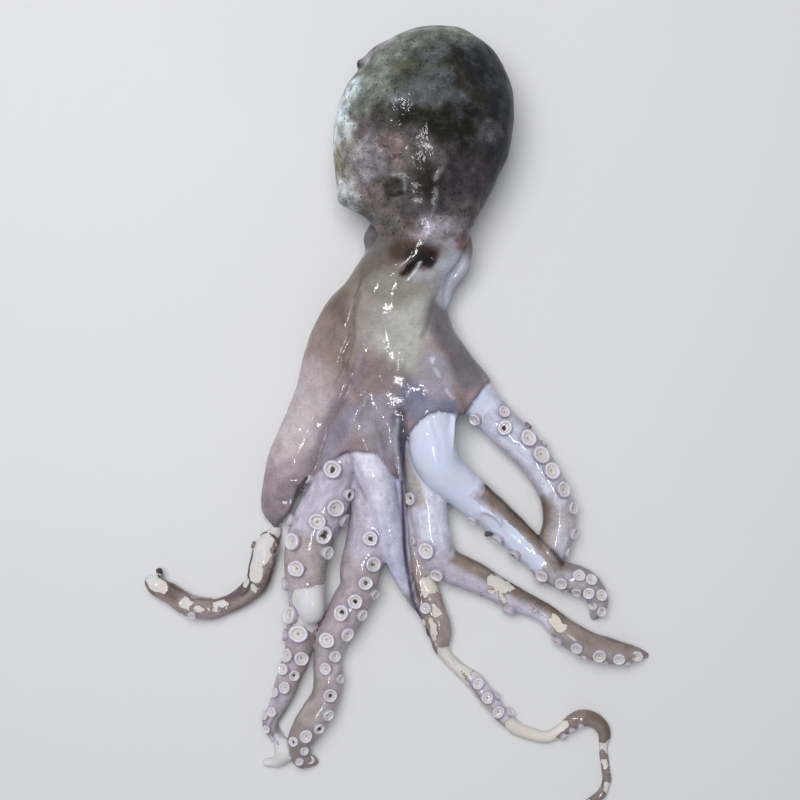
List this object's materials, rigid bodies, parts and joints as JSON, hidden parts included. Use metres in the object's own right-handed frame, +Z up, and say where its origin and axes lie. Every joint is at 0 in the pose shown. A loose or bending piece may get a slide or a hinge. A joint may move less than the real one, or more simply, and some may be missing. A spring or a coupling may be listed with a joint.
{
  "type": "whole octopus",
  "caption": "Whole raw octopus lying spread out, a round mantle sack above and tapering arms with cup suckers fanned out below a short web.",
  "frame": {"origin": "middle of the outline's box on the surface that the octopus lies on", "axes": "+Y from the arm tips to the crown of the mantle, +Z up out of the surface, +X to the right seen from above with the mantle at the top"},
  "size_m": [0.2754, 0.4232, 0.058],
  "materials": {
    "skin": "wet, smooth and glossy skin, mottled grey green on the mantle, mauve grey on the arms and cream where it has peeled"
  },
  "bodies": {
    "root": {"octopus": "skin"}
  },
  "joints": []
}
